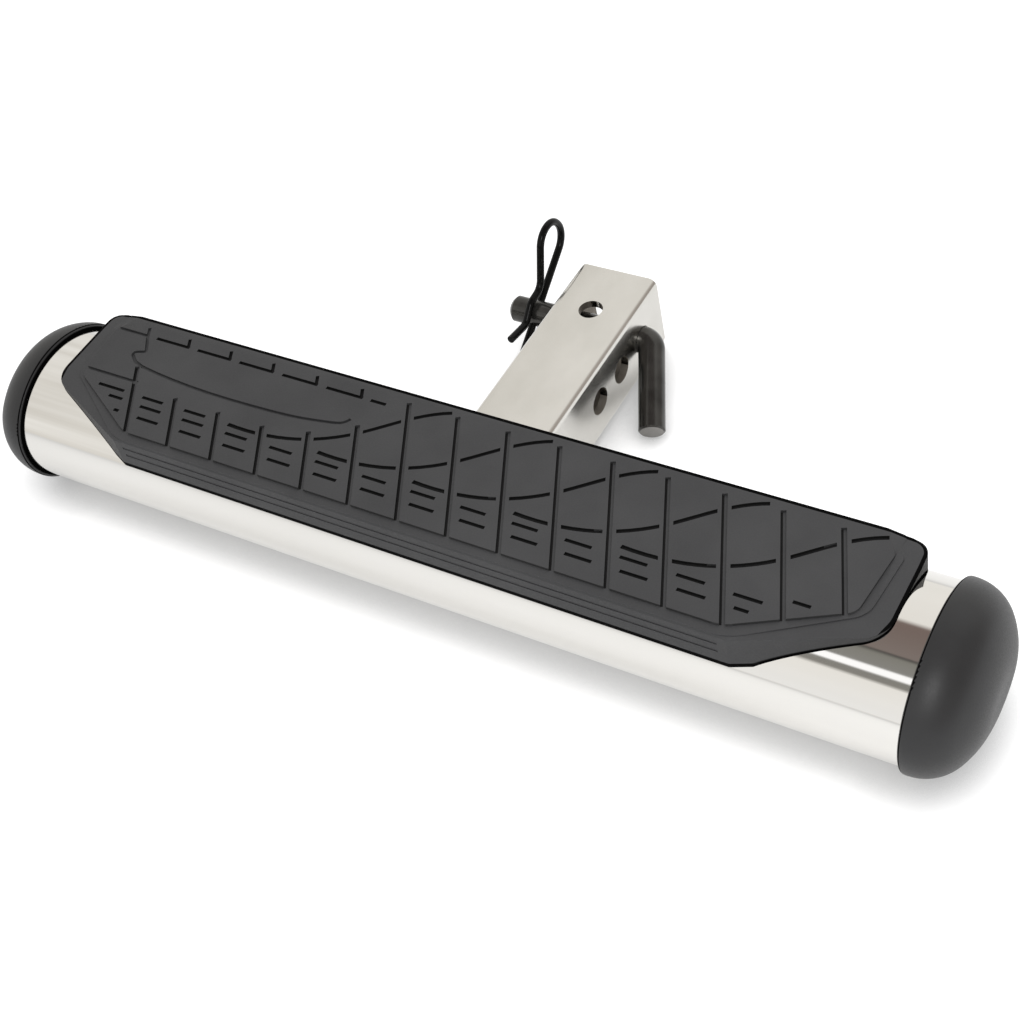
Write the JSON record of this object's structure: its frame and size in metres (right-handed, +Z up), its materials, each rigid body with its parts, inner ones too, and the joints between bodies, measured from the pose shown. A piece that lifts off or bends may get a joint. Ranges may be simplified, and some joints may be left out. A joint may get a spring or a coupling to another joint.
{
  "type": "hitch receiver step",
  "caption": "Rear bumper step: a polished oval tube with domed end caps and a moulded tread pad, welded to a square receiver shank held by a bent pin and a hairpin clip.",
  "frame": {"origin": "centre of the square shank on the axis of the hitch pin", "axes": "+X along the step tube, towards the bent end of the pin; +Y along the shank, out of its open end towards the vehicle's receiver; +Z up, out of the tread"},
  "size_m": [0.605, 0.2692, 0.0893],
  "materials": {
    "polished_steel": "mirror-polished stainless steel",
    "cap_plastic": "satin black moulded plastic",
    "tread_plastic": "matte charcoal moulded plastic",
    "shank_steel": "satin polished stainless steel",
    "weld_steel": "brushed weld bead",
    "pin_steel": "black oxide with a soft sheen",
    "clip_wire": "gloss black coated wire"
  },
  "bodies": {
    "step": {"main_tube": "polished_steel", "left_end_cap": "cap_plastic", "right_end_cap": "cap_plastic", "step_pad": "tread_plastic", "receiver_shank": "shank_steel", "weld_bead": "weld_steel"},
    "pin": {"hitch_pin": "pin_steel"},
    "clip": {"hairpin_clip": "clip_wire"}
  },
  "joints": [
    {"name": "pin_turn", "type": "hinge", "parent": "step", "child": "pin", "pos_m": [0, 0, 0], "axis": [1, 0, 0], "continuous": true},
    {"name": "clip_pull", "type": "slide", "parent": "pin", "child": "clip", "axis": [0, 0.8526, 0.5225], "range_m": [0, 0.05], "deforming": ["hairpin_clip"]}
  ]
}
